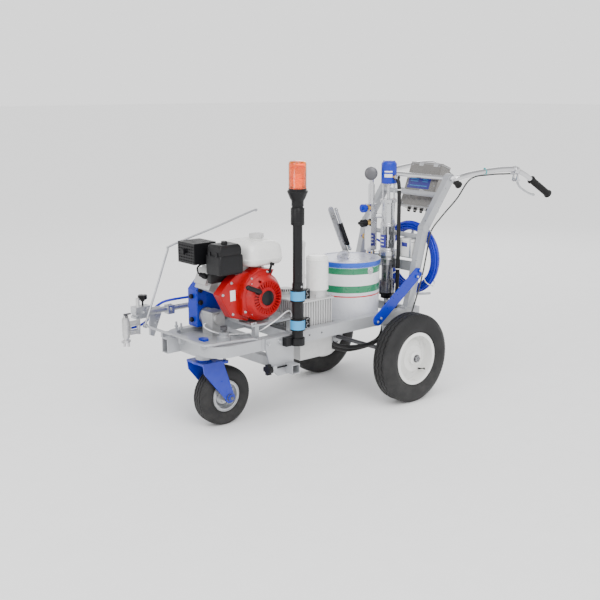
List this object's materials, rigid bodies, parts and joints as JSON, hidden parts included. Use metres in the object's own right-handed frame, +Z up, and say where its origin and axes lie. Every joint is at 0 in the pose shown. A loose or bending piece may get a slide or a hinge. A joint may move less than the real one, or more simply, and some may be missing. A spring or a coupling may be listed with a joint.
{
  "type": "line striping machine",
  "caption": "Walk-behind airless road line striping machine with engine, hydraulic paint pump, pail, hose, spray gun and beacon on a three-wheeled frame.",
  "frame": {"origin": "middle of the footprint, on the ground", "axes": "+X forward to the caster, +Y to the left side with the recoil starter and the beacon, +Z up"},
  "size_m": [2.1256, 0.71, 1.1089],
  "materials": {
    "frame_paint": "silver grey powder coat, satin",
    "zinc": "zinc plated steel, dull",
    "blue_paint": "royal blue powder coat, semi gloss",
    "red_paint": "red enamel, semi gloss",
    "white_paint": "white enamel, gloss",
    "black_plastic": "black moulded plastic, fine texture",
    "black_metal": "black heat resistant paint, matt",
    "cast_alloy": "die cast aluminium, bead blasted",
    "chrome": "bright chrome plate",
    "stainless": "brushed stainless sheet",
    "dark_steel": "oiled dark steel",
    "tyre": "black rubber with road dust",
    "grip_rubber": "black moulded rubber, ribbed",
    "belt_rubber": "black V-belt",
    "hose_black": "black hydraulic hose, wrapped finish",
    "hose_blue": "blue nylon airless hose jacket",
    "cable_black": "black cable sheath",
    "pail_print": "white tinplate with plain green bands",
    "lid_metal": "pale lavender silver lacquered tinplate",
    "tank_alloy": "finned cast aluminium, painted light grey",
    "amber_lens": "amber prismatic lens",
    "button_green": "green push button"
  },
  "bodies": {
    "root": {"main_frame": "frame_paint", "nose_frame": "frame_paint", "rear_axle": "dark_steel", "handle_posts": "frame_paint", "side_braces": "blue_paint", "engine_mount": "frame_paint", "engine_block": "cast_alloy", "engine_shroud": "red_paint", "recoil_cover": "red_paint", "fuel_tank": "white_paint", "air_cleaner": "black_plastic", "muffler": "black_metal", "drive_belt": "belt_rubber", "hydraulic_pump": "cast_alloy", "belt_guard": "blue_paint", "oil_tank": "tank_alloy", "oil_filter": "white_paint", "hydraulic_hoses": "hose_black", "pail": "pail_print", "pump_head": "blue_paint", "pump_column": "stainless", "manifold": "chrome", "control_box": "stainless", "battery_box": "white_paint", "handlebar": "chrome", "grips": "grip_rubber", "brake_cable": "cable_black", "hose_coil": "hose_blue", "hose_tails": "hose_blue", "beacon_pole": "black_metal"},
    "left_wheel": {"left_tyre": "tyre", "left_rim": "white_paint"},
    "right_wheel": {"right_tyre": "tyre", "right_rim": "white_paint"},
    "caster": {"caster_fork": "blue_paint"},
    "caster_wheel": {"caster_tyre": "tyre", "caster_rim": "zinc"},
    "swivel_pin": {"swivel_lock": "dark_steel"},
    "recoil": {"recoil_handle": "black_plastic"},
    "cap": {"fuel_cap": "tank_alloy"},
    "throttle": {"throttle_lever": "black_plastic"},
    "crank": {"crankshaft": "dark_steel"},
    "pump_pulley": {"driven_pulley": "cast_alloy"},
    "lid": {"pail_lid": "lid_metal"},
    "lid_bail": {"lid_handle": "zinc"},
    "piston_rod": {"pump_rod": "chrome"},
    "valve": {"valve_handle": "blue_paint"},
    "prime": {"prime_knob": "black_plastic"},
    "button": {"start_button": "button_green"},
    "brake": {"brake_lever": "zinc"},
    "lever": {"side_lever": "zinc"},
    "arm": {"gun_arm": "zinc"},
    "gun": {"gun_holder": "cast_alloy"},
    "trigger": {"gun_trigger": "dark_steel"},
    "arm_knob": {"gun_knob": "black_plastic"},
    "pointer": {"guide_pointer": "zinc"},
    "mast": {"beacon_mast": "black_metal", "beacon_lens": "amber_lens"},
    "tool_tube": {"cross_tube": "frame_paint"},
    "tube_knob": {"clamp_knob": "black_plastic"}
  },
  "joints": [
    {"name": "left_wheel_spin", "type": "hinge", "parent": "root", "child": "left_wheel", "pos_m": [-0.0452, 0.305, 0.203], "axis": [0, 1, 0], "continuous": true},
    {"name": "right_wheel_spin", "type": "hinge", "parent": "root", "child": "right_wheel", "pos_m": [-0.0452, -0.305, 0.203], "axis": [0, 1, 0], "continuous": true},
    {"name": "caster_swivel", "type": "hinge", "parent": "root", "child": "caster", "pos_m": [0.8698, 0, 0.3], "axis": [0, 0, 1], "continuous": true},
    {"name": "caster_wheel_spin", "type": "hinge", "parent": "caster", "child": "caster_wheel", "pos_m": [0.7828, 0, 0.127], "axis": [0, 1, 0], "continuous": true},
    {"name": "swivel_pin_slide", "type": "slide", "parent": "root", "child": "swivel_pin", "axis": [0, 0, 1], "range_m": [-0.004, 0.012]},
    {"name": "recoil_pull", "type": "slide", "parent": "root", "child": "recoil", "axis": [0, 1, 0], "range_m": [0, 0.3], "stiffness_N_per_m": 30},
    {"name": "fuel_cap_turn", "type": "hinge", "parent": "root", "child": "cap", "pos_m": [0.6048, 0.02, 0.788], "axis": [0, 0, 1], "range_deg": [0, 90]},
    {"name": "throttle_swing", "type": "hinge", "parent": "root", "child": "throttle", "pos_m": [0.6208, 0.128, 0.653], "axis": [0, 1, 0], "range_deg": [-25, 25]},
    {"name": "crank_spin", "type": "hinge", "parent": "root", "child": "crank", "pos_m": [0.6608, 0, 0.552], "axis": [0, 1, 0], "continuous": true},
    {"name": "pump_pulley_spin", "type": "hinge", "parent": "root", "child": "pump_pulley", "pos_m": [0.7708, -0.15, 0.446], "axis": [0, 1, 0], "continuous": true},
    {"name": "lid_lift", "type": "slide", "parent": "root", "child": "lid", "axis": [0, 0, 1], "range_m": [0, 0.09]},
    {"name": "lid_bail_swing", "type": "hinge", "parent": "lid", "child": "lid_bail", "pos_m": [0.0888, 0, 0.635], "axis": [0, 1, 0], "range_deg": [-50, 105]},
    {"name": "piston_rod_stroke", "type": "slide", "parent": "root", "child": "piston_rod", "axis": [0, 0, 1], "range_m": [-0.018, 0.04]},
    {"name": "valve_turn", "type": "hinge", "parent": "root", "child": "valve", "pos_m": [-0.0952, -0.042, 0.84], "axis": [1, 0, 0], "range_deg": [0, 90]},
    {"name": "prime_turn", "type": "hinge", "parent": "root", "child": "prime", "pos_m": [-0.0952, -0.042, 0.77], "axis": [1, 0, 0], "range_deg": [0, 90]},
    {"name": "button_press", "type": "slide", "parent": "root", "child": "button", "axis": [0.9304, 0, 0.3665], "range_m": [0, 0.0027], "stiffness_N_per_m": 800},
    {"name": "brake_squeeze", "type": "hinge", "parent": "root", "child": "brake", "pos_m": [-0.8212, 0.264, 0.948], "axis": [0, 1, 0], "range_deg": [0, 11], "stiffness_Nm_per_rad": 2},
    {"name": "lever_swing", "type": "hinge", "parent": "root", "child": "lever", "pos_m": [-0.1632, -0.159, 0.44], "axis": [0, 1, 0], "range_deg": [-15, 6]},
    {"name": "arm_slide", "type": "slide", "parent": "root", "child": "arm", "axis": [1, 0, 0], "range_m": [0, 0.04]},
    {"name": "gun_height", "type": "slide", "parent": "arm", "child": "gun", "axis": [0, 0, 1], "range_m": [-0.05, 0.007]},
    {"name": "trigger_pull", "type": "hinge", "parent": "gun", "child": "trigger", "pos_m": [1.0408, -0.325, 0.445], "axis": [0, 1, 0], "range_deg": [-8, 0], "stiffness_Nm_per_rad": 0.5},
    {"name": "arm_knob_turn", "type": "hinge", "parent": "arm", "child": "arm_knob", "pos_m": [0.9548, -0.326, 0.5], "axis": [0, 0, 1], "range_deg": [-90, 90]},
    {"name": "pointer_swing", "type": "hinge", "parent": "root", "child": "pointer", "pos_m": [0.9748, -0.276, 0.404], "axis": [0, 1, 0], "range_deg": [0, 173]},
    {"name": "mast_height", "type": "slide", "parent": "root", "child": "mast", "axis": [0, 0, 1], "range_m": [-0.1, 0.1]},
    {"name": "tool_tube_slide", "type": "slide", "parent": "root", "child": "tool_tube", "axis": [0, 1, 0], "range_m": [-0.045, 0.018]},
    {"name": "tube_knob_turn", "type": "hinge", "parent": "root", "child": "tube_knob", "pos_m": [0.6948, 0.217, 0.268], "axis": [1, 0, 0], "range_deg": [-90, 90]}
  ],
  "couplings": [
    {"joint": "pump_pulley_spin", "follows": "crank_spin", "ratio": 1.1805}
  ]
}
